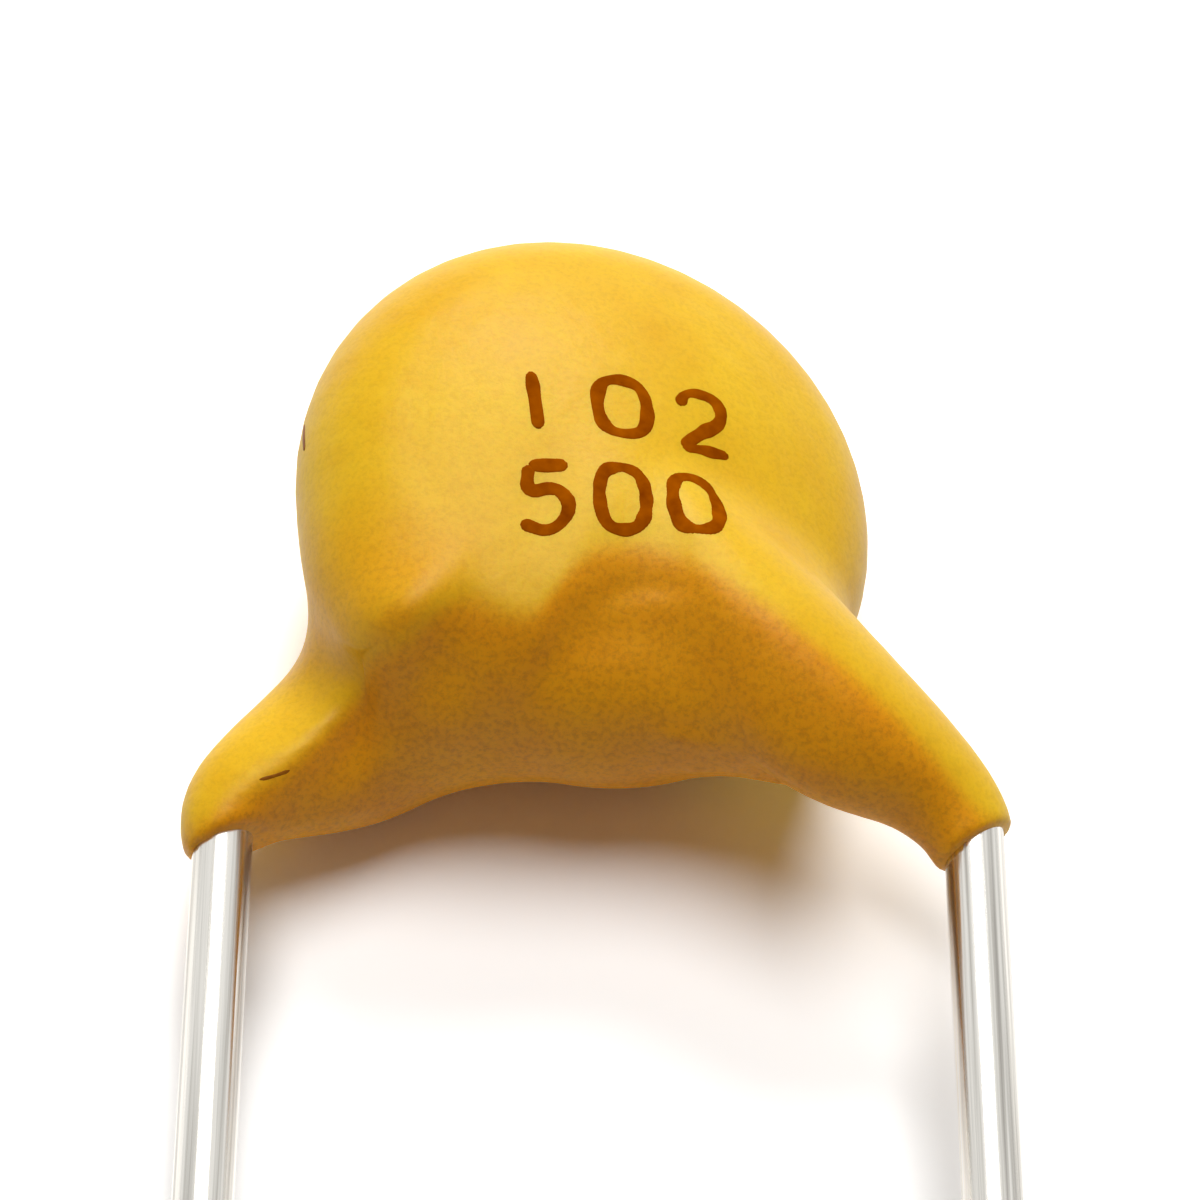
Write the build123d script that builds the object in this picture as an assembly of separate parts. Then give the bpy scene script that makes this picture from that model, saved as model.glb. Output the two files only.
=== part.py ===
from build123d import *
import math
import os

# A radial ceramic disc capacitor with a dipped coating, lying on its back.
# All lengths are in millimetres and all angles in degrees.
# The pieces are drawn in the lead frame: the leads lie in the XY plane at half the pitch
# on each side of the Y axis, +Y runs from the lead tips to the disc, and +Z is the front.
# The disc sits askew between the two leads, one on each face, so it has its own disc frame.

# Leads: tinned wire, bent inwards to lie across the disc
LEAD_PITCH = 7.5
LEAD_DIAMETER = 0.6
LEAD_FREE_LENGTH = 20.0
LEAD_BEND_RADIUS = 0.9
LEAD_BEND_DROP = 0.83
LEAD_END_SHARES = (-0.1, 0.05)

# Ceramic disc and the silver electrode on each face
CERAMIC_DIAMETER = 5.0
CERAMIC_THICKNESS = 1.8
CERAMIC_EDGE_BREAK = 0.12
ELECTRODE_MARGIN = 0.35
ELECTRODE_THICKNESS = 0.02
DISC_OFFSET = -0.15

# Solder that holds a lead to its electrode
SOLDER_FILM = 0.03
SOLDER_SKIRT = 0.3
SOLDER_CLIMB_SHARE = 0.36
SOLDER_TUCK_SHARE = 0.84

# Coating: a lens over the disc and a sleeve down each lead, which is thickest on its inner side
WIRE_COVER = 0.1
RIM_COAT = 0.6
RIM_ROUND_SHARE = 0.76
RIGHT_RIDGE_COAT = 0.4
RIGHT_OUTER_COAT = 0.06
RIGHT_INNER_COAT = 0.98
RIGHT_END_SLANT = 32.0
LEFT_RIDGE_COAT = 0.6
LEFT_OUTER_COAT = 0.42
LEFT_INNER_COAT = 0.74
LEFT_END_SLANT = -20.0
SLEEVE_DROP = 0.59
END_COAT = 0.07
BLEND_RADIUS = 0.65

# A sleeve's sections: where each lies along the lead, and its share of the coats above
SLEEVE_PLACE_SHARES = (0.28, 0.5, 0.68, 0.85)
RIDGE_COAT_SHARES = (0.7, 1.0, 0.9, 0.5)
OUTER_COAT_SHARES = (1.3, 1.35, 0.8, 0.4)
INNER_COAT_SHARES = (0.95, 1.25, 1.05, 0.6)
SLEEVE_START_SHARE = 0.5
OVAL_POINTS = 12

# How the part lies: the roll it settles at, about the leads' own direction
REST_ROLL = -4.4

# Sizes that follow from those above
lead_radius = LEAD_DIAMETER / 2
ceramic_radius = CERAMIC_DIAMETER / 2
electrode_radius = ceramic_radius - ELECTRODE_MARGIN
electrode_top = CERAMIC_THICKNESS / 2 + ELECTRODE_THICKNESS
lead_height = electrode_top + SOLDER_FILM + lead_radius
disc_roll = math.degrees(math.asin(lead_height / (LEAD_PITCH / 2)))
bend_y = -(ceramic_radius + LEAD_BEND_DROP)
sleeve_end_y = bend_y - SLEEVE_DROP
lead_tip_y = sleeve_end_y - LEAD_FREE_LENGTH

SLANT_FRAME = Rot(0, disc_roll, 0)
DISC_FRAME = SLANT_FRAME * Pos(DISC_OFFSET, 0, 0)
TO_OTHER_FACE = Rot(0, 180, 0)
disc_normal = Plane(SLANT_FRAME).z_dir

# The lead's corners in the lead frame: its inner end on the front electrode, its bend and its tip
lead_end_on_disc = Vector(
    LEAD_END_SHARES[0] * electrode_radius, LEAD_END_SHARES[1] * electrode_radius, lead_height
)
lead_end = (SLANT_FRAME * Pos(lead_end_on_disc)).position
lead_bend = Vector(LEAD_PITCH / 2, bend_y, 0)
lead_tip = Vector(LEAD_PITCH / 2, lead_tip_y, 0)


def make_ceramic():
    """The dielectric: a flat disc with its edges broken, in the lead frame."""
    disc = Cylinder(ceramic_radius, CERAMIC_THICKNESS)
    disc = chamfer(disc.edges().filter_by(GeomType.CIRCLE), CERAMIC_EDGE_BREAK)
    return DISC_FRAME * disc


def make_electrode(side):
    """The silver film on one face, short of the disc's edge: side 1 is the front, -1 the rear."""
    film = Cylinder(electrode_radius, ELECTRODE_THICKNESS)
    return DISC_FRAME * Pos(0, 0, side * (electrode_top - ELECTRODE_THICKNESS / 2)) * film


def make_lead():
    """The front lead: across the electrode, out past the rim, then straight down to its tip."""
    path = FilletPolyline(lead_end, lead_bend, lead_tip, radius=LEAD_BEND_RADIUS)
    section = Plane(origin=path @ 0, z_dir=path % 0) * Circle(lead_radius)
    return sweep(section, path=path)


def make_solder(lead):
    """A mound along the front lead, with flanks that rise from the electrode to the wire."""
    base = lead_radius + SOLDER_SKIRT
    climb = SOLDER_FILM + lead_radius + SOLDER_CLIMB_SHARE * lead_radius
    top = SOLDER_TUCK_SHARE * lead_radius * math.sqrt(1 - SOLDER_CLIMB_SHARE**2)
    flank = Line((base, 0), (top, climb))
    outline = flank + Polyline((top, climb), (0, climb), (0, 0), (base, 0))
    half = Plane.XZ * make_face(outline)
    start = lead_end_on_disc
    run = (SLANT_FRAME.inverse() * Pos(lead_bend)).position - start
    inset = base + abs(DISC_OFFSET)
    aside = (start.X * run.Y - start.Y * run.X) / run.length
    along = (start.X * run.X + start.Y * run.Y) / run.length
    length = math.sqrt(electrode_radius**2 - aside**2) - along - inset
    whole = half + mirror(half, about=Plane.YZ)
    mound = extrude(whole, amount=length, dir=(0, 1, 0))
    dome = revolve(half, axis=Axis.Z)
    mound = mound + dome + Pos(0, length, 0) * dome
    heading = math.degrees(math.atan2(run.Y, run.X)) - 90
    mound = SLANT_FRAME * Pos(start.X, start.Y, electrode_top) * Rot(0, 0, heading) * mound
    return mound - lead


def make_lens():
    """The coated disc alone: a shallow dome on each face, run into a round rim."""
    radius = ceramic_radius + RIM_COAT
    height = lead_height + lead_radius + WIRE_COVER
    rim_radius = RIM_ROUND_SHARE * height
    dome_radius = (radius**2 + height**2 - 2 * radius * rim_radius) / (2 * (height - rim_radius))
    rim_angle = math.degrees(math.atan2(dome_radius - height, radius - rim_radius))
    dome = CenterArc((0, height - dome_radius), dome_radius, rim_angle, 90 - rim_angle)
    rim = CenterArc((radius - rim_radius, 0), rim_radius, -rim_angle, 2 * rim_angle)
    rear = mirror(dome, about=Plane.XZ)
    section = make_face([dome.edge(), rim.edge(), rear.edge(), Line((0, -height), (0, height)).edge()])
    return DISC_FRAME * revolve(Plane.XZ * section, axis=Axis.Z)


def sleeve_section(path, place, outer, inner, over):
    """An oval round the wire, wider on the inner side, at one place along the path."""
    inward = (path % place).cross(disc_normal)
    plane = Plane(origin=path @ place, x_dir=inward, z_dir=path % place)
    middle = (inner - outer) / 2
    half = (inner + outer) / 2
    points = []
    for step in range(OVAL_POINTS):
        turn = 2 * math.pi * step / OVAL_POINTS
        points.append((middle - half * math.cos(turn), over * math.sin(turn)))
    return plane * make_face(Spline(points, periodic=True))


def make_sleeve(ridge_coat, outer_coat, inner_coat, end_slant):
    """The coat round the front lead: a ridge on the disc that swells into a leg and thins to a lip."""
    start_radius = SLEEVE_START_SHARE * lead_radius
    end_radius = lead_radius + END_COAT
    overrun = end_radius * math.tan(math.radians(abs(end_slant)))
    path_end = Vector(LEAD_PITCH / 2, sleeve_end_y - overrun, 0)
    path = FilletPolyline(lead_end, lead_bend, path_end, radius=LEAD_BEND_RADIUS)
    sections = [sleeve_section(path, 0, start_radius, start_radius, start_radius)]
    shares = zip(SLEEVE_PLACE_SHARES, OUTER_COAT_SHARES, INNER_COAT_SHARES, RIDGE_COAT_SHARES)
    for place, outer_share, inner_share, ridge_share in shares:
        outer = lead_radius + outer_share * outer_coat
        inner = lead_radius + inner_share * inner_coat
        over = lead_radius + ridge_share * ridge_coat
        sections.append(sleeve_section(path, place, outer, inner, over))
    sections.append(sleeve_section(path, 1, end_radius, end_radius, end_radius))
    sleeve = loft(sections)
    cut = Plane(origin=(LEAD_PITCH / 2, sleeve_end_y, 0), z_dir=(0, 1, 0)).rotated((0, 0, end_slant))
    return split(sleeve, bisect_by=cut, keep=Keep.TOP)


def make_coating_form():
    """The outside of the coating: the lens and both sleeves, run together as the wet resin did."""
    lens = make_lens()
    front = make_sleeve(RIGHT_RIDGE_COAT, RIGHT_OUTER_COAT, RIGHT_INNER_COAT, RIGHT_END_SLANT)
    rear = make_sleeve(LEFT_RIDGE_COAT, LEFT_OUTER_COAT, LEFT_INNER_COAT, LEFT_END_SLANT)
    rear = TO_OTHER_FACE * rear
    form = lens + front + rear
    seams = new_edges(lens, front, rear, combined=form)
    return fillet(seams, BLEND_RADIUS)


def make_coating(inner_pieces):
    """The coating, with the room that the inner pieces take up."""
    coating = make_coating_form()
    for piece in inner_pieces:
        coating = coating - piece
    return coating


def make_pieces():
    """Every piece by its name, in the lead frame."""
    right_lead = make_lead()
    front_solder = make_solder(right_lead)
    pieces = {
        "ceramic_disc": make_ceramic(),
        "front_electrode": make_electrode(1),
        "rear_electrode": make_electrode(-1),
        "front_solder": front_solder,
        "rear_solder": TO_OTHER_FACE * front_solder,
        "right_lead": right_lead,
        "left_lead": TO_OTHER_FACE * right_lead,
    }
    pieces["coating"] = make_coating(pieces.values())
    return pieces


def rest_on_table(pieces):
    """Lays the part on its back, on the coating and the lower lead's tip, its middle over the origin."""
    rolled = {name: Rot(0, REST_ROLL, 0) * piece for name, piece in pieces.items()}
    body_depth = -rolled["coating"].bounding_box().min.Z
    tip_depth = lead_radius + math.sin(math.radians(abs(REST_ROLL))) * LEAD_PITCH / 2
    tilt = math.degrees(math.asin((body_depth - tip_depth) / -lead_tip_y))
    laid = {name: Rot(tilt, 0, 0) * piece for name, piece in rolled.items()}
    box = Compound(list(laid.values())).bounding_box()
    lift = Pos(-box.center().X, -box.center().Y, -box.min.Z)
    return {name: lift * piece for name, piece in laid.items()}


if __name__ == "__main__":
    os.makedirs("parts", exist_ok=True)
    for name, piece in rest_on_table(make_pieces()).items():
        export_step(piece, f"parts/{name}.step")
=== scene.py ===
import math

import bmesh
import bpy
import numpy as np
from mathutils import Matrix, Vector, noise
from mathutils.bvhtree import BVHTree


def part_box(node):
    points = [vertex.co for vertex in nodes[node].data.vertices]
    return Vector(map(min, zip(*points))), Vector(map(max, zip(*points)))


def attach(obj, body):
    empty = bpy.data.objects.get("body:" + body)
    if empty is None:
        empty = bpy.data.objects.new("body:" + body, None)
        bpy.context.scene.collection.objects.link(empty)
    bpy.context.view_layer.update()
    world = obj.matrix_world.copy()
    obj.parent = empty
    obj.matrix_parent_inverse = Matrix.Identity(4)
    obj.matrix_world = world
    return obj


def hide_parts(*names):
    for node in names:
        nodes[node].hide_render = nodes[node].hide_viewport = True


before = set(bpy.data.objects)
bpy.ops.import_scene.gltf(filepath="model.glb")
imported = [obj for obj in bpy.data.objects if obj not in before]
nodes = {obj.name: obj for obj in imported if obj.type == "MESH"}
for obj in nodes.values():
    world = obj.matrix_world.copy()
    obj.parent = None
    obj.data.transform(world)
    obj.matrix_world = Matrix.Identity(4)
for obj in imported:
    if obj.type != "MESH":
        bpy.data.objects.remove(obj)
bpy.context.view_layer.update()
scene = bpy.context.scene
MM = 0.001

# How the part lies, as in the CAD source: the roll and tilt it rests at, the disc's slant
# between its leads, all in degrees, and how far the disc is off the middle of the leads
REST_ROLL = -4.4
REST_TILT = 2.79
DISC_SLANT = 19.47
DISC_OFFSET = -0.15 * MM


def turn_about(axis, degrees):
    return Matrix.Rotation(math.radians(degrees), 3, axis)


# In the lead frame +Y runs from the lead tips to the disc. In the disc frame +Z leaves the face.
low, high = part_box("ceramic_disc")
disc_centre = (low + high) / 2
lead_turn = turn_about("X", REST_TILT) @ turn_about("Y", REST_ROLL)
disc_turn = lead_turn @ turn_about("Y", DISC_SLANT)
lead_origin = disc_centre - disc_turn @ Vector((DISC_OFFSET, 0, 0))
disc_axes = np.array(disc_turn)
disc_middle = np.array(disc_centre) / MM


def to_disc(places):
    """Places of a mesh in millimetres, in the disc frame."""
    return (places - disc_middle) @ disc_axes


def from_disc(spots):
    """Places in the disc frame, back where the part lies."""
    return spots @ disc_axes.T + disc_middle


# Mesh helpers
def piece_from(shape, name):
    """A new object that takes over a bmesh."""
    mesh = bpy.data.meshes.new(name)
    shape.to_mesh(mesh)
    shape.free()
    piece = bpy.data.objects.new(name, mesh)
    scene.collection.objects.link(piece)
    return piece


def apply_modifiers(piece):
    graph = bpy.context.evaluated_depsgraph_get()
    mesh = bpy.data.meshes.new_from_object(piece.evaluated_get(graph))
    piece.modifiers.clear()
    old = piece.data
    piece.data = mesh
    bpy.data.meshes.remove(old)


def vertex_rows(mesh, name):
    """A row of three numbers for each vertex: its place, which Blender calls co, or its normal."""
    values = np.empty(len(mesh.vertices) * 3)
    mesh.vertices.foreach_get(name, values)
    return values.reshape(-1, 3)


def heading(points, index):
    """The direction of a line of points at one of them."""
    before = points[max(index - 1, 0)]
    after = points[min(index + 1, len(points) - 1)]
    return (after - before).normalized()


def join_rings(shape, rings):
    """Closes a tube over rings of points, and gives the face at its last end."""
    sides = len(rings[0])
    for ring, following in zip(rings, rings[1:]):
        for step in range(sides):
            after = (step + 1) % sides
            shape.faces.new((ring[step], ring[after], following[after], following[step]))
    shape.faces.new(rings[0])
    last = shape.faces.new(rings[-1])
    bmesh.ops.recalc_face_normals(shape, faces=shape.faces)
    return last


def smooth_step(start, end, values):
    """0 before the start, 1 past the end and a smooth rise between them."""
    share = np.clip((values - start) / (end - start), 0, 1)
    return share * share * (3 - 2 * share)


def falloff(spots, middle, reach):
    """1 at the middle, smoothly less with the distance from it, and about a third at the reach."""
    away = np.linalg.norm(spots - np.array(middle), axis=1)
    return np.exp(-((away / reach) ** 2))


# Coating: the CAD node's outside, its grooves filled, remeshed fine, sculpted and softened.
# It is shaped in millimetres, because Blender's voxels can't be fine enough in metres.
MERGE_DISTANCE = 0.0005 * MM
CAVITY_REACH = 0.03 * MM
SMOOTH_FACTOR = 0.5
FINE_VOXEL = 0.045
FINE_SMOOTHS = 6
LAST_SMOOTHS = 10
FILL_VOXEL = 0.07
FILL_RADIUS = 0.8
START_SMOOTHS = 4
SWOLLEN_SMOOTHS = 8
SHRUNK_SMOOTHS = 2

# The web of resin between the legs, in the disc frame: how round it is filled, where it starts
# below the face, its half width and its foot, and how it fades and sinks outside those
WEB_RADIUS = 2.2
WEB_TOP = -2.0
WEB_HALF = 2.6
WEB_FOOT = -3.25
WEB_FADE = 0.6
WEB_SINK = 0.35

# Edges that the resin set with, in the disc frame: place across, place along, height added.
# The first bounds the bright face, from the left leg over the lead's end and down the right leg.
FACE_CREST = (
    (-2.6, -2.1, 0.0),
    (-2.2, -2.1, 0.08),
    (-1.95, -2.05, 0.12),
    (-1.57, -2.05, 0.15),
    (-1.3, -2.2, 0.19),
    (-0.95, -2.2, 0.2),
    (-0.7, -1.7, 0.21),
    (-0.4, -1.48, 0.22),
    (0.0, -1.42, 0.24),
    (0.45, -1.6, 0.24),
    (0.9, -1.95, 0.23),
    (1.5, -2.36, 0.19),
    (2.14, -2.76, 0.14),
    (2.71, -3.14, 0.09),
    (3.2, -3.48, 0.04),
    (3.6, -3.8, 0.0),
)
LEG_CREST = (
    (-3.8, -3.9, 0.0),
    (-3.45, -3.6, 0.06),
    (-2.88, -3.17, 0.16),
    (-2.4, -2.6, 0.2),
    (-2.0, -2.1, 0.12),
    (-1.6, -1.85, 0.0),
)

# How far a crest reaches above and below its line, and the shallow dip at its foot
FACE_ABOVE = 1.1
FACE_BELOW = 0.6
LEG_ABOVE = 0.4
LEG_BELOW = 0.35
DIP_SHARE = 0.12
DIP_PLACE = -0.75
DIP_REACH = 0.35

# How a crest's corners are rounded: the half length of its curve, its step, and the steps that
# each corner is spread over
CURVE_REACH = 5.0
CURVE_STEP = 0.01
CURVE_ROUND = 51

# Where the resin bulges, by the left leg: the middle, how far it reaches and how far it stands out
BULGES = (
    ((-2.5, -1.6, 0.2), 0.8, 0.25),
    ((-1.6, -2.75, 0.1), 0.55, 0.14),
    ((-2.3, -2.25, 0.3), 0.5, 0.22),
    ((-2.2, -2.05, 0.65), 0.5, 0.16),
)

# Patches of painted shade above the left leg, where the face is painted a deeper orange: the middle, how
# far each reaches, its share
PAINTED_SHADE_PATCHES = (
    ((-2.45, -1.8), 0.7, 0.45),
    ((-2.25, -2.3), 0.3, 0.7),
)

# From where to where each fades: the crests as the surface turns away from the front, the painted shade
# (a deeper orange) below each crest's line, and across the disc the left leg's lit side that is kept
# clear of it
FRONT_FADE = (0.1, 0.6)
FACE_SHADE_FADE = (0.18, -0.15)
LEG_SHADE_FADE = (-0.3, 0.12)
LEG_FADE = (-1.5, -2.0)


def search_tree(meshes):
    """One search tree over several meshes."""
    points, faces = [], []
    for mesh in meshes:
        start = len(points)
        points.extend(vertex.co.copy() for vertex in mesh.vertices)
        faces.extend([start + index for index in polygon.vertices] for polygon in mesh.polygons)
    return BVHTree.FromPolygons(points, faces)


def close_holes(shell):
    """Fills each open loop of edges with a fan of triangles."""
    left = dict.fromkeys(edge for edge in shell.edges if edge.is_boundary)
    while left:
        loop = [left.popitem()[0]]
        for edge in loop:
            for vert in edge.verts:
                for other in vert.link_edges:
                    if other in left:
                        del left[other]
                        loop.append(other)
        verts = dict.fromkeys(vert for edge in loop for vert in edge.verts)
        middle = shell.verts.new(sum((vert.co for vert in verts), Vector()) / len(verts))
        for edge in loop:
            shell.faces.new((*edge.verts, middle))
    bmesh.ops.recalc_face_normals(shell, faces=shell.faces)


def outer_shell(name):
    """The node in millimetres without the faces of its cavity, closed where the leads come out."""
    inner = search_tree(node.data for other, node in nodes.items() if other != name)
    shell = bmesh.new()
    shell.from_mesh(nodes[name].data)
    bmesh.ops.remove_doubles(shell, verts=shell.verts, dist=MERGE_DISTANCE)
    cavity = []
    for face in shell.faces:
        spot, normal, _, _ = inner.find_nearest(face.calc_center_median(), CAVITY_REACH)
        if spot is not None and normal.dot(face.normal) < 0:
            cavity.append(face)
    bmesh.ops.delete(shell, geom=cavity, context="FACES")
    close_holes(shell)
    bmesh.ops.scale(shell, vec=(1 / MM,) * 3, verts=shell.verts)
    return shell


def add_smooth(piece, steps):
    smooth = piece.modifiers.new("smooth", "SMOOTH")
    smooth.factor = SMOOTH_FACTOR
    smooth.iterations = steps


def add_remesh(piece, voxel, steps):
    remesh = piece.modifiers.new("remesh", "REMESH")
    remesh.mode = "VOXEL"
    remesh.voxel_size = voxel
    add_smooth(piece, steps)


def add_offset(piece, distance):
    offset = piece.modifiers.new("offset", "DISPLACE")
    offset.strength = distance
    offset.mid_level = 0


def swollen_and_shrunk(shell, radius):
    """A mesh of the shell swollen and shrunk again, which fills its grooves as wet resin would."""
    filled = piece_from(shell.copy(), "filled")
    add_remesh(filled, FILL_VOXEL, START_SMOOTHS)
    add_offset(filled, radius)
    add_remesh(filled, FILL_VOXEL, SWOLLEN_SMOOTHS)
    add_offset(filled, -radius)
    add_remesh(filled, FILL_VOXEL, SHRUNK_SMOOTHS)
    apply_modifiers(filled)
    mesh = filled.data
    bpy.data.objects.remove(filled)
    return mesh


def keep_web(mesh):
    """Sinks all of a filled shell but the web between the legs, so that only the web stands proud."""
    places = vertex_rows(mesh, "co")
    spots = to_disc(places)
    aside = np.abs(spots[:, 0])
    share = smooth_step(WEB_TOP + WEB_FADE, WEB_TOP, spots[:, 1])
    share *= smooth_step(WEB_HALF, WEB_HALF - WEB_FADE, aside)
    places -= vertex_rows(mesh, "normal") * (1 - share)[:, None] * WEB_SINK
    mesh.vertices.foreach_set("co", places.ravel())
    web = bmesh.new()
    web.from_mesh(mesh)
    web.verts.ensure_lookup_table()
    outside = (aside > WEB_HALF) | (spots[:, 1] < WEB_FOOT)
    ends = [web.verts[index] for index in np.nonzero(outside)[0]]
    bmesh.ops.delete(web, geom=ends, context="VERTS")
    close_holes(web)
    web.to_mesh(mesh)
    web.free()


def rounded(line):
    """A crest's place along and its height, as smooth curves over the place across."""
    places, *columns = np.array(line).T
    across = np.arange(-CURVE_REACH, CURVE_REACH, CURVE_STEP)
    kernel = np.hanning(CURVE_ROUND + 2)
    curves = []
    for values in columns:
        curve = np.pad(np.interp(across, places, values), CURVE_ROUND // 2 + 1, mode="edge")
        curves.append(np.convolve(curve, kernel / kernel.sum(), mode="valid")[:len(across)])
    return across, *curves


def crest_lift(spots, line, above, below):
    """The height that a crest adds at each point, and how far above the crest's line the point is."""
    across, along, height = rounded(line)
    gap = spots[:, 1] - np.interp(spots[:, 0], across, along)
    reach = np.where(gap > 0, above, below)
    lift = np.exp(-((gap / reach) ** 2))
    lift -= DIP_SHARE * np.exp(-(((gap - DIP_PLACE) / DIP_REACH) ** 2))
    return np.interp(spots[:, 0], across, height) * lift, gap


def sculpt(mesh):
    """Adds the crests and bulges to the remeshed coating, and each point's share of painted shade, a
    deeper orange where the resin slopes away below the crests.
    """
    spots = to_disc(vertex_rows(mesh, "co"))
    facing = vertex_rows(mesh, "normal") @ disc_axes
    front = smooth_step(*FRONT_FADE, facing[:, 2])
    face_lift, face_gap = crest_lift(spots, FACE_CREST, FACE_ABOVE, FACE_BELOW)
    leg_lift, leg_gap = crest_lift(spots, LEG_CREST, LEG_ABOVE, LEG_BELOW)
    for middle, reach, height in BULGES:
        spots += facing * (height * falloff(spots, middle, reach))[:, None]
    spots[:, 2] += (face_lift + leg_lift) * front
    mesh.vertices.foreach_set("co", from_disc(spots).ravel())
    mesh.update()
    # Painted shade: each point's share of a deeper orange below the face's and the leg's crests, where
    # the resin slopes away from the lamps, kept off the leg's lit side, and in patches above the left leg
    bright_leg = smooth_step(*LEG_FADE, spots[:, 0]) * smooth_step(*LEG_SHADE_FADE, leg_gap)
    share = smooth_step(*FACE_SHADE_FADE, face_gap) * (1 - bright_leg)
    for middle, reach, amount in PAINTED_SHADE_PATCHES:
        share = np.maximum(share, amount * falloff(spots[:, :2], middle, reach))
    painted_shade = mesh.attributes.new("painted_shade_share", "FLOAT", "POINT")
    painted_shade.data.foreach_set("value", share)


def make_coating():
    shell = outer_shell("coating")
    web = swollen_and_shrunk(shell, WEB_RADIUS)
    keep_web(web)
    shell.from_mesh(swollen_and_shrunk(shell, FILL_RADIUS))
    shell.from_mesh(web)
    piece = piece_from(shell, "coating_body")
    add_remesh(piece, FINE_VOXEL, FINE_SMOOTHS)
    apply_modifiers(piece)
    sculpt(piece.data)
    add_smooth(piece, LAST_SMOOTHS)
    apply_modifiers(piece)
    piece.data.transform(Matrix.Scale(MM, 4))
    piece.data.shade_smooth()
    return piece


coating = make_coating()
coating_tree = search_tree([coating.data])
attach(coating, "root")
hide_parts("coating")

# Leads: fine round wire along the CAD lead's own line, in the lead frame.
# The lead's inner end is given in the disc frame.
LEAD_PITCH = 7.5 * MM
LEAD_RADIUS = 0.3 * MM
LEAD_BEND_RADIUS = 0.9 * MM
LEAD_BEND_Y = -3.33 * MM
LEAD_TIP_Y = -23.92 * MM
LEAD_END = (-0.215 * MM, 0.1075 * MM, 1.25 * MM)
LEAD_SIDES = 40
LEAD_BEND_STEPS = 14
LEAD_RUN_STEPS = 40
LEAD_TIP_ROUND = 0.04 * MM
LEAD_TIP_STEPS = 3
ROUND_PROFILE = 0.5

# Each lead's node, and its turn about Y in the lead frame: the rear lead is the front one turned round
LEAD_TURNS = (("right_lead", 0), ("left_lead", 180))


def lead_path():
    """The front lead's centre line in the lead frame, from its end on the disc to its tip."""
    end = turn_about("Y", DISC_SLANT) @ Vector(LEAD_END)
    corner = Vector((LEAD_PITCH / 2, LEAD_BEND_Y, 0))
    tip = Vector((LEAD_PITCH / 2, LEAD_TIP_Y, 0))
    inward = (end - corner).normalized()
    onward = (tip - corner).normalized()
    half = inward.angle(onward) / 2
    trim = LEAD_BEND_RADIUS / math.tan(half)
    middle = corner + (inward + onward).normalized() * (LEAD_BEND_RADIUS / math.sin(half))
    first = corner + inward * trim - middle
    last = corner + onward * trim - middle
    axis = first.cross(last).normalized()
    sweep = first.angle(last)
    points = [end]
    for step in range(LEAD_BEND_STEPS + 1):
        points.append(middle + Matrix.Rotation(sweep * step / LEAD_BEND_STEPS, 3, axis) @ first)
    straight = points[-1]
    for step in range(1, LEAD_RUN_STEPS + 1):
        points.append(straight.lerp(tip, step / LEAD_RUN_STEPS))
    return points


def make_lead(name, degrees):
    """A wire swept along the path, turned about the lead frame's Y axis, with its cut tip eased."""
    turn = lead_turn @ turn_about("Y", degrees)
    points = [lead_origin + turn @ point for point in lead_path()]
    wire = bmesh.new()
    rings = []
    for index, point in enumerate(points):
        along = heading(points, index)
        sideways = along.cross(turn.col[2]).normalized()
        upward = sideways.cross(along).normalized()
        ring = []
        for step in range(LEAD_SIDES):
            angle = 2 * math.pi * step / LEAD_SIDES
            offset = sideways * math.cos(angle) + upward * math.sin(angle)
            ring.append(wire.verts.new(point + offset * LEAD_RADIUS))
        rings.append(ring)
    tip = join_rings(wire, rings)
    bmesh.ops.bevel(
        wire,
        geom=list(tip.edges),
        offset=LEAD_TIP_ROUND,
        segments=LEAD_TIP_STEPS,
        profile=ROUND_PROFILE,
        affect="EDGES",
    )
    piece = piece_from(wire, name)
    for polygon in piece.data.polygons:
        polygon.use_smooth = len(polygon.vertices) < LEAD_SIDES
    return piece


leads = []
for node, degrees in LEAD_TURNS:
    wire = make_lead(node + "_wire", degrees)
    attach(wire, "root")
    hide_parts(node)
    leads.append(wire)

# Marking: plain generic digits in brown ink on the face, in the disc frame's millimetres.
# A digit is one or more strokes in a cell one wide and one high.
DIGITS = {
    "0": (
        (
            (0.7, 0.98),
            (0.45, 1.02),
            (0.1, 0.92),
            (0.0, 0.5),
            (0.12, 0.08),
            (0.5, 0.0),
            (0.88, 0.1),
            (1.0, 0.5),
            (0.9, 0.92),
            (0.55, 1.02),
            (0.3, 0.97),
        ),
    ),
    "1": (
        ((0.45, 1.0), (0.55, 0.0)),
    ),
    "2": (
        ((0.02, 0.74), (0.2, 1.04), (0.84, 1.02), (0.92, 0.6), (0.4, 0.3), (0.02, 0.0)),
        ((0.02, 0.0), (0.98, 0.04)),
    ),
    "5": (
        ((0.92, 1.0), (0.16, 0.98)),
        ((0.16, 0.98), (0.1, 0.54), (0.7, 0.68), (1.0, 0.32), (0.6, -0.06), (0.0, 0.1)),
    ),
}
MARKING = (
    {"digits": "102", "middle": (-0.19, 0.22), "wide": 0.56, "high": 0.7, "pitch": 0.9},
    {"digits": "500", "middle": (-0.22, -0.92), "wide": 0.5, "high": 0.74, "pitch": 0.74},
)
MARKING_TURN = math.radians(2.0)
INK_HALF = 0.085

# Small dark marks of painted shade on the resin: in a chip on the left rim and along a crease on the left
# leg
RIM_CHIP = ((0.42, -0.06), (0.2, 0.06), (0.0, 0.12))
RIM_CHIP_HALF = 0.045
LEG_CREASE = ((-3.2, -3.45), (-3.1, -3.42), (-3.0, -3.38), (-2.92, -3.34))
LEG_CREASE_HALF = 0.022

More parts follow.
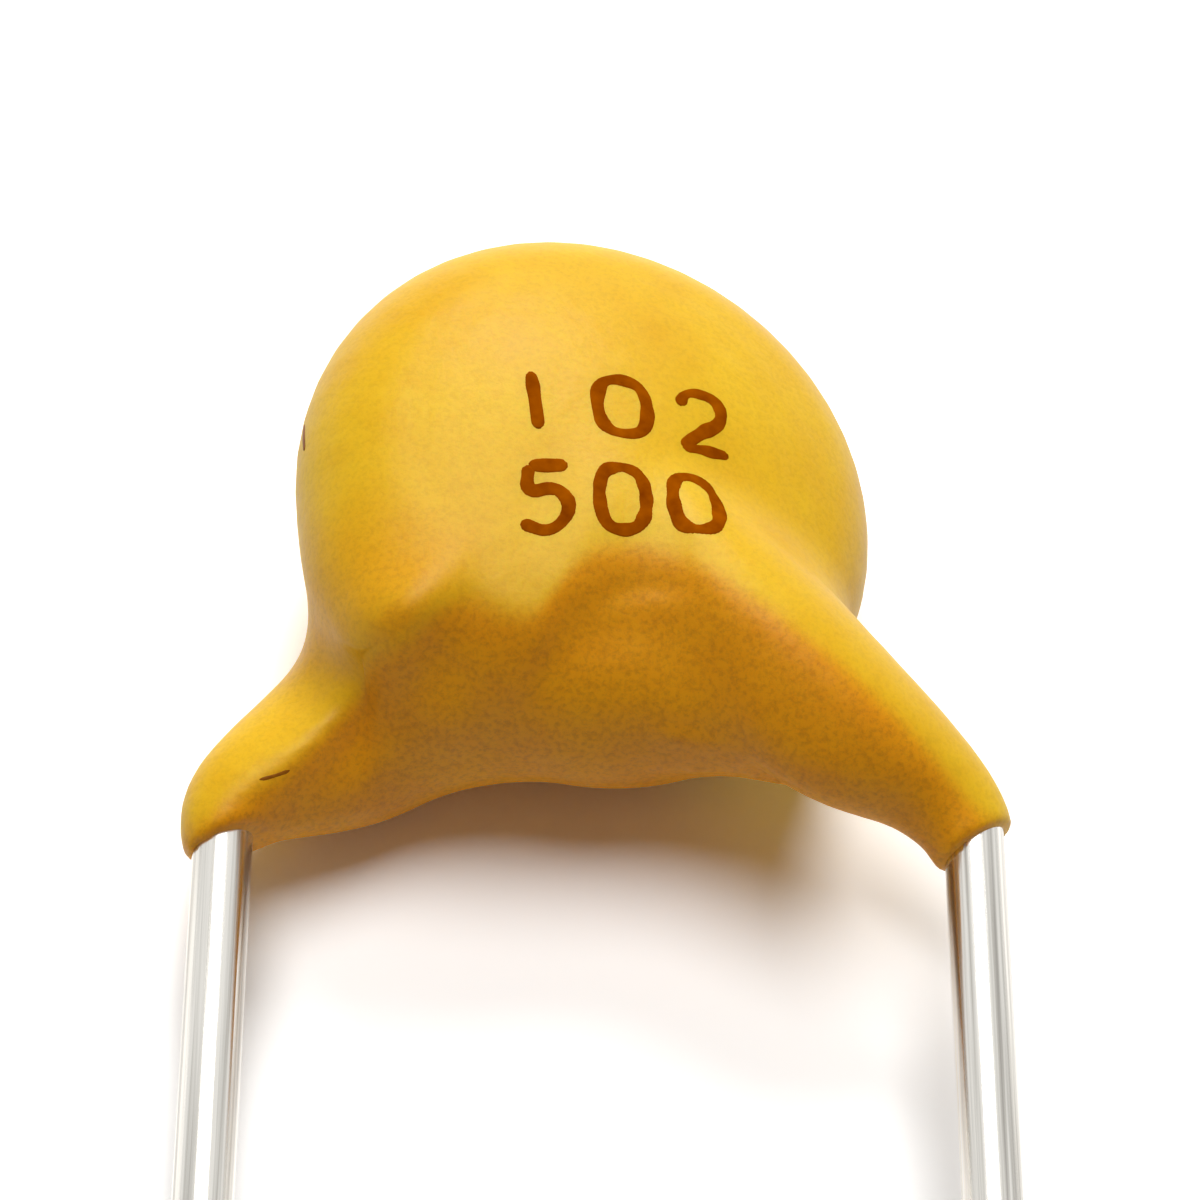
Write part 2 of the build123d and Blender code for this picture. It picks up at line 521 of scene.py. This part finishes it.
# A stroke's bead: its step, the least steps it has, and its section, as shares of its half width
# and heights over the surface, which its edges and underside are sunk in
STROKE_STEP = 0.035
STROKE_LEAST_STEPS = 3
STROKE_SECTION = (
    (-1.0, -0.0016),
    (-0.6, 0.00198),
    (0.0, 0.004),
    (0.6, 0.00198),
    (1.0, -0.0016),
    (1.0, -0.03),
    (-1.0, -0.03),
)

# How a stroke's corners are cut, how round its ends are, and how its width wavers
CORNER_ROUNDS = 2
CORNER_SHARES = (0.25, 0.75)
END_ROUND = 0.9
WAVER_SHARE = 0.35
WAVER_SCALE = 6
WAVER_ROW = 50

# Where the rays start that find the coating's surface, clear of it above the face and beside the rim
FACE_RAY_START = 5
RIM_RAY_START = -6


def round_corners(points):
    """A stroke with its corners cut, its two ends kept."""
    points = [Vector(point) for point in points]
    for _ in range(CORNER_ROUNDS):
        cut = [points[0]]
        for first, second in zip(points, points[1:]):
            cut.extend(first.lerp(second, share) for share in CORNER_SHARES)
        points = cut + [points[-1]]
    return points


def even_steps(points):
    """A stroke's points again, at even steps along it."""
    table = np.array(points)
    lengths = np.linalg.norm(np.diff(table, axis=0), axis=1)
    run = np.concatenate(([0], np.cumsum(lengths)))
    count = max(int(run[-1] / STROKE_STEP), STROKE_LEAST_STEPS)
    places = np.linspace(0, run[-1], count + 1)
    return [Vector((np.interp(place, run, column) for column in table.T)) for place in places]


def surface_at(start, direction):
    """Where a ray in the disc frame meets the coating, and the coating's normal there."""
    place = disc_centre + disc_turn @ (Vector(start) * MM)
    spot, normal, _, _ = coating_tree.ray_cast(place, disc_turn @ Vector(direction))
    return spot, normal


def on_face(across, along):
    """The coating's surface under a place on the disc, looking straight down on the face."""
    return surface_at((across, along, FACE_RAY_START), (0, 0, -1))


def on_left_rim(along, up):
    """The coating's surface at a height on the left rim, looking straight at the rim."""
    return surface_at((RIM_RAY_START, along, up), (1, 0, 0))


def draw_stroke(ink, points, half, surface):
    """A low closed bead along a stroke, its edges sunk in the surface."""
    points = even_steps(points)
    lengths = [0.0]
    for first, second in zip(points, points[1:]):
        lengths.append(lengths[-1] + (second - first).length)
    rings = []
    for index, point in enumerate(points):
        ahead = heading(points, index)
        aside = Vector((-ahead.y, ahead.x))
        end = min(lengths[index], lengths[-1] - lengths[index], half) / half
        wide = half * math.sqrt(1 - (1 - end) ** 2 * END_ROUND)
        waver = noise.noise((point.x * WAVER_SCALE, point.y * WAVER_SCALE, half * WAVER_ROW))
        wide *= 1 + WAVER_SHARE * waver
        ring = []
        for share, rise in STROKE_SECTION:
            spot, normal = surface(*(point + aside * wide * share))
            ring.append(ink.verts.new(spot + normal * rise * MM))
        rings.append(ring)
    join_rings(ink, rings)


def finish_strokes(ink, name):
    piece = piece_from(ink, name)
    piece.data.shade_smooth()
    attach(piece, "root")
    return piece


def make_marking():
    ink = bmesh.new()
    turn = Matrix.Rotation(MARKING_TURN, 2)
    for row in MARKING:
        size = Vector((row["wide"], row["high"]))
        for place, digit in enumerate(row["digits"]):
            aside = (place - (len(row["digits"]) - 1) / 2) * row["pitch"]
            corner = Vector((aside, 0)) - size / 2
            for stroke in DIGITS[digit]:
                points = [corner + point * size for point in round_corners(stroke)]
                points = [Vector(row["middle"]) + turn @ point for point in points]
                draw_stroke(ink, points, INK_HALF, on_face)
    return finish_strokes(ink, "ink_digits")


# Painted shade: dark beads in the chip on the left rim and along the crease on the left leg
def make_shade_marks():
    shade_marks = bmesh.new()
    draw_stroke(shade_marks, round_corners(RIM_CHIP), RIM_CHIP_HALF, on_left_rim)
    draw_stroke(shade_marks, round_corners(LEG_CREASE), LEG_CREASE_HALF, on_face)
    return finish_strokes(shade_marks, "resin_shade_marks")


marking = make_marking()
shade_marks = make_shade_marks()

# Node helpers: a mix node's sockets for its share and two colours, and for its result
MIX_INPUTS = (0, 6, 7)
MIX_RESULT = 2


def srgb(red, green, blue):
    """A colour given in 8-bit sRGB, as linear RGBA."""
    linear = []
    for part in (red, green, blue):
        share = part / 255
        linear.append(share / 12.92 if share <= 0.04045 else ((share + 0.055) / 1.055) ** 2.4)
    return (*linear, 1.0)


def feed(tree, socket, value):
    """Links a node's output to the socket, or sets the socket to a plain value."""
    if isinstance(value, bpy.types.NodeSocket):
        tree.links.new(value, socket)
    else:
        socket.default_value = value


def set_node(tree, node, **values):
    """Sets a node's properties and feeds its sockets, each by its name with _ for a space."""
    for key, value in values.items():
        if hasattr(node, key):
            setattr(node, key, value)
        else:
            feed(tree, node.inputs[key.replace("_", " ")], value)


def add_node(tree, kind, **values):
    node = tree.nodes.new(kind)
    set_node(tree, node, **values)
    return node


def new_material(name, kind="ShaderNodeBsdfPrincipled"):
    """A material with one shader, its node tree and the shader."""
    material = bpy.data.materials.new(name)
    material.use_nodes = True
    tree = material.node_tree
    tree.nodes.clear()
    shader = tree.nodes.new(kind)
    add_node(tree, "ShaderNodeOutputMaterial", Surface=shader.outputs[0])
    return material, tree, shader


def object_places(tree):
    return add_node(tree, "ShaderNodeTexCoord").outputs["Object"]


def noise_over(tree, places, **values):
    return add_node(tree, "ShaderNodeTexNoise", Vector=places, **values).outputs["Fac"]


def map_range(tree, value, **values):
    return add_node(tree, "ShaderNodeMapRange", Value=value, **values).outputs[0]


def bump(tree, **values):
    return add_node(tree, "ShaderNodeBump", **values).outputs["Normal"]


def colour_ramp(tree, value, places, colours):
    """A ramp between two colours, from the first place to the second."""
    ramp = add_node(tree, "ShaderNodeValToRGB", Fac=value)
    for element, place, colour in zip(ramp.color_ramp.elements, places, colours):
        element.position = place
        element.color = colour
    return ramp.outputs["Color"]


def mix_colours(tree, blend, share, first, second):
    mix = add_node(tree, "ShaderNodeMix", data_type="RGBA", blend_type=blend)
    for index, value in zip(MIX_INPUTS, (share, first, second)):
        feed(tree, mix.inputs[index], value)
    return mix.outputs[MIX_RESULT]


def calculate(tree, operation, *values):
    node = add_node(tree, "ShaderNodeMath", operation=operation)
    for socket, value in zip(node.inputs, values):
        feed(tree, socket, value)
    return node.outputs[0]


# Materials: the scales of their textures are per metre
RESIN_TONES = (srgb(230, 176, 14), srgb(242, 198, 34))
RESIN_TONE_PLACES = (0.3, 0.72)
RESIN_SPECK = srgb(150, 84, 8)
# Painted shade: the resin's tone is multiplied by this deeper orange by each point's painted shade share
PAINTED_SHADE_TINT = (1.0, 0.69, 0.2, 1.0)
FACE_SPECK_SHARE = 0.4
WIRE_TONES = (srgb(162, 159, 152), srgb(226, 223, 216))
WIRE_TONE_PLACES = (0.32, 0.6)
WIRE_STREAK_STRETCH = (1.0, 90.0, 1.0)

# Plain speckled materials: the two tones, the scale of the speckles, then the shader's values
SPECKLED = {
    "brown_ink": {
        "tones": (srgb(96, 26, 0), srgb(186, 96, 0)),
        "scale": 5200.0,
        "shader": {"Roughness": 0.6, "Specular_IOR_Level": 0.0},
    },
    # The dark colour of the painted shade in the chip and the crease
    "painted_shade_resin": {
        "tones": (srgb(104, 52, 2), srgb(176, 106, 14)),
        "scale": 14000.0,
        "shader": {"Roughness": 0.5, "Specular_IOR_Level": 0.1},
    },
    "fired_ceramic": {
        "tones": (srgb(176, 150, 116), srgb(214, 190, 156)),
        "scale": 6000.0,
        "shader": {"Roughness": 0.7},
    },
    "silver_film": {
        "tones": (srgb(206, 204, 198), srgb(236, 234, 228)),
        "scale": 8000.0,
        "shader": {"Roughness": 0.4, "Metallic": 1.0},
    },
    "dull_solder": {
        "tones": (srgb(186, 186, 184), srgb(216, 216, 214)),
        "scale": 5000.0,
        "shader": {"Roughness": 0.35, "Metallic": 1.0},
    },
}
SPECKLE_DETAIL = 4.0


def resin_material():
    """Mustard resin with soft clouds and fine dark specks, more speckled below the face and painted a
    deeper orange there as shade.
    """
    material, tree, shader = new_material("dipped_resin")
    places = object_places(tree)
    clouds = noise_over(tree, places, Scale=520.0, Detail=4.0, Roughness=0.6)
    grain = noise_over(tree, places, Scale=16000.0, Detail=3.0, Roughness=0.75)
    lumps = noise_over(tree, places, Scale=2400.0, Detail=3.0)
    painted_shade = add_node(tree, "ShaderNodeAttribute", attribute_name="painted_shade_share").outputs["Fac"]
    tone = colour_ramp(tree, clouds, RESIN_TONE_PLACES, RESIN_TONES)
    # Painted shade: the tone turns a deeper orange below the crests
    tone = mix_colours(tree, "MULTIPLY", painted_shade, tone, PAINTED_SHADE_TINT)
    specks = map_range(tree, grain, From_Min=0.56, From_Max=0.34, To_Max=0.34)
    amount = calculate(tree, "MULTIPLY_ADD", painted_shade, 1 - FACE_SPECK_SHARE, FACE_SPECK_SHARE)
    specks = calculate(tree, "MULTIPLY", specks, amount)
    swell = bump(tree, Height=lumps, Strength=0.5, Distance=0.03 * MM)
    set_node(
        tree,
        shader,
        Base_Color=mix_colours(tree, "MIX", specks, tone, RESIN_SPECK),
        Roughness=map_range(tree, clouds, To_Min=0.34, To_Max=0.56),
        Normal=bump(tree, Height=grain, Strength=0.35, Distance=0.008 * MM, Normal=swell),
        Specular_IOR_Level=0.22,
        Subsurface_Weight=0.3,
        Subsurface_Radius=(1.0, 0.4, 0.1),
        Subsurface_Scale=0.4 * MM,
    )
    return material


def wire_material():
    """Tinned wire with fine streaks drawn out along it."""
    material, tree, shader = new_material("tinned_wire")
    along = add_node(
        tree,
        "ShaderNodeMapping",
        vector_type="TEXTURE",
        Vector=object_places(tree),
        Rotation=(math.radians(REST_TILT), 0.0, 0.0),
        Scale=WIRE_STREAK_STRETCH,
    )
    streaks = noise_over(tree, along.outputs[0], Scale=15000.0, Detail=5.0)
    set_node(
        tree,
        shader,
        Base_Color=colour_ramp(tree, streaks, WIRE_TONE_PLACES, WIRE_TONES),
        Roughness=map_range(tree, streaks, From_Min=0.3, From_Max=0.7, To_Min=0.32, To_Max=0.1),
        Normal=bump(tree, Height=streaks, Strength=0.3, Distance=0.01 * MM),
        Metallic=1.0,
    )
    return material


def speckled_material(name):
    look = SPECKLED[name]
    material, tree, shader = new_material(name)
    grain = noise_over(tree, object_places(tree), Scale=look["scale"], Detail=SPECKLE_DETAIL)
    set_node(tree, shader, Base_Color=colour_ramp(tree, grain, (0, 1), look["tones"]), **look["shader"])
    return material


def paint(material, *pieces):
    for piece in pieces:
        piece.data.materials.clear()
        piece.data.materials.append(material)


paint(resin_material(), coating)
paint(wire_material(), *leads)
paint(speckled_material("brown_ink"), marking)
paint(speckled_material("painted_shade_resin"), shade_marks)
paint(speckled_material("fired_ceramic"), nodes["ceramic_disc"])
paint(speckled_material("silver_film"), nodes["front_electrode"], nodes["rear_electrode"])
paint(speckled_material("dull_solder"), nodes["front_solder"], nodes["rear_solder"])

# Floor and world: white where they are seen, and softer where they only light the part
FLOOR_SIZE = 130 * MM
FLOOR_CELLS = 2
FLOOR_BOUNCE = (0.8, 0.79, 0.77, 1)
FLOOR_WHITE = (1.38, 1.38, 1.38, 1)
FILL_COLOUR = (1, 0.86, 0.7, 1)
FILL_STRENGTH = 0.066
WHITE = (1, 1, 1, 1)

# Lamps, in metres and watts: the place as seen from the disc, the width and the power
LAMPS = {
    "soft_top": {"place": (-0.025, 0.06, 0.28), "width": 0.2, "power": 0.56},
    "soft_back": {"place": (0.03, 0.21, 0.19), "width": 0.11, "power": 0.46},
}

# Camera, fitted to the photograph: where the disc's centre is in it, and the scale there
IMAGE_PX = 1200
DISC_CENTRE_PX = (585.8, 510.0)
PX_PER_MM = 95.5
VIEW_ELEVATION = 55.6
VIEW_DISTANCE = 41.0 * MM
SENSOR = 36.0
CLIP_START = 1 * MM
CLIP_END = 10


def background_rays(tree):
    """1 for the rays that show the background: the camera's own, and those by way of metal or glass."""
    path = tree.nodes.new("ShaderNodeLightPath")
    seen = path.outputs["Is Camera Ray"]
    for kind in ("Is Glossy Ray", "Is Transmission Ray"):
        seen = calculate(tree, "MAXIMUM", seen, path.outputs[kind])
    return seen


def make_floor():
    sheet = bmesh.new()
    bmesh.ops.create_grid(sheet, x_segments=FLOOR_CELLS, y_segments=FLOOR_CELLS, size=FLOOR_SIZE / 2)
    floor = piece_from(sheet, "floor")
    material, tree, shader = new_material("white_floor", "ShaderNodeBsdfDiffuse")
    colour = mix_colours(tree, "MIX", background_rays(tree), FLOOR_BOUNCE, FLOOR_WHITE)
    feed(tree, shader.inputs["Color"], colour)
    paint(material, floor)


def make_world():
    world = bpy.data.worlds.new("studio")
    scene.world = world
    world.use_nodes = True
    tree = world.node_tree
    tree.nodes.clear()
    fill = add_node(tree, "ShaderNodeBackground", Color=FILL_COLOUR, Strength=FILL_STRENGTH)
    white = add_node(tree, "ShaderNodeBackground", Color=WHITE, Strength=1.0)
    mix = tree.nodes.new("ShaderNodeMixShader")
    for socket, value in zip(mix.inputs, (background_rays(tree), fill.outputs[0], white.outputs[0])):
        feed(tree, socket, value)
    add_node(tree, "ShaderNodeOutputWorld", Surface=mix.outputs[0])


def make_lamps():
    for name, lamp in LAMPS.items():
        light = bpy.data.lights.new(name, "AREA")
        light.shape = "DISK"
        light.size = lamp["width"]
        light.energy = lamp["power"]
        holder = bpy.data.objects.new(name, light)
        scene.collection.objects.link(holder)
        away = Vector(lamp["place"])
        holder.location = disc_centre + away
        holder.rotation_euler = (-away).to_track_quat("-Z", "Y").to_euler()


def make_camera():
    """The camera is placed by the disc's centre, then turned until the photograph's middle is ahead."""
    rise = math.radians(VIEW_ELEVATION)
    roll = turn_about("Y", REST_ROLL)
    right = roll @ Vector((1, 0, 0))
    ahead = roll @ Vector((0, math.cos(rise), -math.sin(rise)))
    above = right.cross(ahead)
    place = disc_centre - ahead * VIEW_DISTANCE
    lens_px = PX_PER_MM * VIEW_DISTANCE / MM
    ahead = ahead * lens_px + right * (IMAGE_PX / 2 - DISC_CENTRE_PX[0])
    ahead = (ahead + above * (DISC_CENTRE_PX[1] - IMAGE_PX / 2)).normalized()
    right = ahead.cross(above).normalized()
    above = right.cross(ahead)
    turn = Matrix((right, above, -ahead)).transposed()
    data = bpy.data.cameras.new("camera")
    data.sensor_width = SENSOR
    data.lens = lens_px / IMAGE_PX * SENSOR
    data.clip_start = CLIP_START
    data.clip_end = CLIP_END
    camera = bpy.data.objects.new("camera", data)
    scene.collection.objects.link(camera)
    camera.matrix_world = Matrix.Translation(place) @ turn.to_4x4()
    scene.camera = camera


make_floor()
make_world()
make_lamps()
make_camera()
scene.view_settings.view_transform = "Standard"
